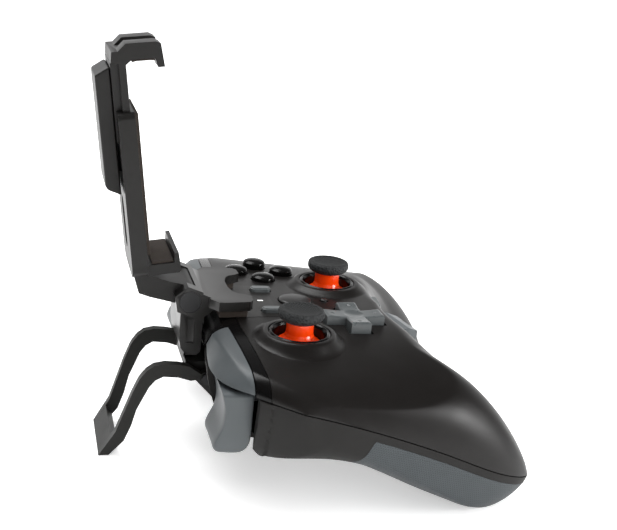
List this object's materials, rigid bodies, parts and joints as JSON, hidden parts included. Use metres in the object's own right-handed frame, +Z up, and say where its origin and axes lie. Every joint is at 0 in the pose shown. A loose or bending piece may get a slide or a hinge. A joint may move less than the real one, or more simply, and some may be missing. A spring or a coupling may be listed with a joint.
{
  "type": "mobile game controller",
  "caption": "Gamepad with two thumb sticks, direction pad and triggers, with a sprung phone clip clamped behind it and a folding kickstand.",
  "frame": {"origin": "centre of the bounding box in X and Y, on the table under the part", "axes": "+X to the player's right, +Y away from the player towards the phone clip, +Z up"},
  "size_m": [0.154, 0.1634, 0.1585],
  "materials": {
    "shell_plastic": "soft-touch matt black",
    "grip_plastic": "matt slate grey, finely dimpled",
    "shoulder_plastic": "satin grey",
    "key_plastic": "satin mid grey",
    "gloss_black": "glossy black",
    "cap_rubber": "matt charcoal rubber",
    "stem_plastic": "glossy orange-red",
    "clip_plastic": "dark satin plastic",
    "stand_plastic": "dark grey satin plastic",
    "clip_rubber": "textured brown-grey rubber",
    "membrane_rubber": "translucent grey silicone",
    "inner_plastic": "moulded engineering plastic",
    "light_plastic": "white light guide",
    "board": "green solder mask",
    "cell": "wrapped pouch cell",
    "steel": "zinc plated steel",
    "brass": "brass",
    "socket_steel": "bright shell"
  },
  "bodies": {
    "controller": {"top_shell": "shell_plastic", "bottom_shell": "shell_plastic", "left_grip_pad": "grip_plastic", "right_grip_pad": "grip_plastic", "shoulder_trim": "gloss_black", "left_trigger_spring": "steel", "right_trigger_spring": "steel", "shoulder_frames": "inner_plastic", "trigger_axles": "steel", "left_stick_ring": "gloss_black", "right_stick_ring": "gloss_black", "left_stick_module": "inner_plastic", "right_stick_module": "inner_plastic", "dpad_post": "inner_plastic", "status_light": "light_plastic", "charge_port_frame": "shoulder_plastic", "charge_socket": "socket_steel", "button_board": "board", "button_membrane": "membrane_rubber", "main_board": "board", "battery": "cell", "board_spacers": "brass", "housing_screws": "steel", "clamp_bracket": "clip_plastic", "clamp_pad": "clip_rubber", "hinge_pin": "clip_plastic"},
    "left_bumper": {"left_bumper": "shoulder_plastic"},
    "right_bumper": {"right_bumper": "shoulder_plastic"},
    "left_trigger": {"left_trigger": "shoulder_plastic"},
    "right_trigger": {"right_trigger": "shoulder_plastic"},
    "left_yoke": {"left_stick_yoke": "inner_plastic"},
    "right_yoke": {"right_stick_yoke": "inner_plastic"},
    "left_ball": {"left_stick_ball": "inner_plastic"},
    "right_ball": {"right_stick_ball": "inner_plastic"},
    "left_stick": {"left_stick_stem": "stem_plastic", "left_stick_cap": "cap_rubber"},
    "right_stick": {"right_stick_stem": "stem_plastic", "right_stick_cap": "cap_rubber"},
    "dpad_disc": {"dpad_disc": "inner_plastic"},
    "dpad": {"dpad_cross": "key_plastic"},
    "button_north": {"button_north": "gloss_black"},
    "button_south": {"button_south": "gloss_black"},
    "button_east": {"button_east": "gloss_black"},
    "button_west": {"button_west": "gloss_black"},
    "home_button": {"home_button": "key_plastic"},
    "start_button": {"start_button": "key_plastic"},
    "select_button": {"select_button": "key_plastic"},
    "mode_button": {"mode_button": "key_plastic"},
    "pairing_bar": {"pairing_bar": "key_plastic"},
    "hook": {"lower_hook": "clip_plastic", "kickstand_pins": "steel"},
    "kickstand": {"kickstand": "stand_plastic"},
    "holder": {"holder_back": "clip_plastic", "back_pad": "clip_rubber", "lower_jaw_pad": "clip_rubber"},
    "jaw": {"upper_jaw": "clip_plastic", "upper_jaw_pad": "clip_rubber", "slider_cover": "clip_plastic"}
  },
  "joints": [
    {"name": "left_bumper_press", "type": "hinge", "parent": "controller", "child": "left_bumper", "pos_m": [-0.045, 0.0326, 0.0522], "axis": [-1, 0, 0], "range_deg": [0, 5], "stiffness_Nm_per_rad": 0.4, "springref_deg": -2.86},
    {"name": "left_trigger_pull", "type": "hinge", "parent": "controller", "child": "left_trigger", "pos_m": [-0.0545, 0.0316, 0.0446], "axis": [-1, 0, 0], "range_deg": [0, 12], "stiffness_Nm_per_rad": 0.2, "springref_deg": -8.59},
    {"name": "right_bumper_press", "type": "hinge", "parent": "controller", "child": "right_bumper", "pos_m": [0.045, 0.0326, 0.0522], "axis": [-1, 0, 0], "range_deg": [0, 5], "stiffness_Nm_per_rad": 0.4, "springref_deg": -2.86},
    {"name": "right_trigger_pull", "type": "hinge", "parent": "controller", "child": "right_trigger", "pos_m": [0.0545, 0.0316, 0.0446], "axis": [-1, 0, 0], "range_deg": [0, 12], "stiffness_Nm_per_rad": 0.2, "springref_deg": -8.59},
    {"name": "left_stick_fore_aft", "type": "hinge", "parent": "controller", "child": "left_yoke", "pos_m": [-0.0375, 0.0059, 0.046], "axis": [1, 0, 0], "range_deg": [-12.5, 12.5], "stiffness_Nm_per_rad": 0.03},
    {"name": "left_stick_sideways", "type": "hinge", "parent": "left_yoke", "child": "left_ball", "pos_m": [-0.0375, 0.0059, 0.046], "axis": [0, 1, 0], "range_deg": [-12.5, 12.5], "stiffness_Nm_per_rad": 0.03},
    {"name": "left_stick_click", "type": "slide", "parent": "left_ball", "child": "left_stick", "axis": [0, 0, -1], "range_m": [0, 0.0005], "stiffness_N_per_m": 2000, "springref_m": -0.0005},
    {"name": "right_stick_fore_aft", "type": "hinge", "parent": "controller", "child": "right_yoke", "pos_m": [0.0195, -0.0197, 0.046], "axis": [1, 0, 0], "range_deg": [-12.5, 12.5], "stiffness_Nm_per_rad": 0.03},
    {"name": "right_stick_sideways", "type": "hinge", "parent": "right_yoke", "child": "right_ball", "pos_m": [0.0195, -0.0197, 0.046], "axis": [0, 1, 0], "range_deg": [-12.5, 12.5], "stiffness_Nm_per_rad": 0.03},
    {"name": "right_stick_click", "type": "slide", "parent": "right_ball", "child": "right_stick", "axis": [0, 0, -1], "range_m": [0, 0.0005], "stiffness_N_per_m": 2000, "springref_m": -0.0005},
    {"name": "dpad_fore_aft", "type": "hinge", "parent": "controller", "child": "dpad_disc", "pos_m": [-0.0205, -0.0197, 0.0528], "axis": [1, 0, 0], "range_deg": [-4, 4], "stiffness_Nm_per_rad": 0.05},
    {"name": "dpad_sideways", "type": "hinge", "parent": "dpad_disc", "child": "dpad", "pos_m": [-0.0205, -0.0197, 0.0528], "axis": [0, 1, 0], "range_deg": [-4, 4], "stiffness_Nm_per_rad": 0.05},
    {"name": "button_north_press", "type": "slide", "parent": "controller", "child": "button_north", "axis": [0, 0, -1], "range_m": [0, 0.0014], "stiffness_N_per_m": 400, "springref_m": -0.0005},
    {"name": "button_south_press", "type": "slide", "parent": "controller", "child": "button_south", "axis": [0, 0, -1], "range_m": [0, 0.0014], "stiffness_N_per_m": 400, "springref_m": -0.0005},
    {"name": "button_east_press", "type": "slide", "parent": "controller", "child": "button_east", "axis": [0, 0, -1], "range_m": [0, 0.0014], "stiffness_N_per_m": 400, "springref_m": -0.0005},
    {"name": "button_west_press", "type": "slide", "parent": "controller", "child": "button_west", "axis": [0, 0, -1], "range_m": [0, 0.0014], "stiffness_N_per_m": 400, "springref_m": -0.0005},
    {"name": "home_button_press", "type": "slide", "parent": "controller", "child": "home_button", "axis": [0, 0, -1], "range_m": [0, 0.0014], "stiffness_N_per_m": 400, "springref_m": -0.0005},
    {"name": "start_button_press", "type": "slide", "parent": "controller", "child": "start_button", "axis": [0, 0, -1], "range_m": [0, 0.0014], "stiffness_N_per_m": 400, "springref_m": -0.0005},
    {"name": "select_button_press", "type": "slide", "parent": "controller", "child": "select_button", "axis": [0, 0, -1], "range_m": [0, 0.0014], "stiffness_N_per_m": 400, "springref_m": -0.0005},
    {"name": "mode_button_press", "type": "slide", "parent": "controller", "child": "mode_button", "axis": [0, 0, -1], "range_m": [0, 0.0014], "stiffness_N_per_m": 400, "springref_m": -0.0005},
    {"name": "pairing_bar_press", "type": "slide", "parent": "controller", "child": "pairing_bar", "axis": [0, 0, -1], "range_m": [0, 0.0007], "stiffness_N_per_m": 400, "springref_m": -0.0005},
    {"name": "hook_open", "type": "slide", "parent": "controller", "child": "hook", "axis": [0, 0, -1], "range_m": [0, 0.006], "stiffness_N_per_m": 800, "springref_m": -0.01},
    {"name": "kickstand_fold", "type": "hinge", "parent": "hook", "child": "kickstand", "pos_m": [0, 0.0351, 0.0332], "axis": [-1, 0, 0], "range_deg": [0, 110]},
    {"name": "holder_tilt", "type": "hinge", "parent": "controller", "child": "holder", "pos_m": [0, 0.0432, 0.0629], "axis": [1, 0, 0], "range_deg": [-20, 40]},
    {"name": "jaw_slide", "type": "slide", "parent": "holder", "child": "jaw", "axis": [0, 0.1392, 0.9903], "range_m": [-0.015, 0.012], "stiffness_N_per_m": 60, "springref_m": -0.03}
  ]
}
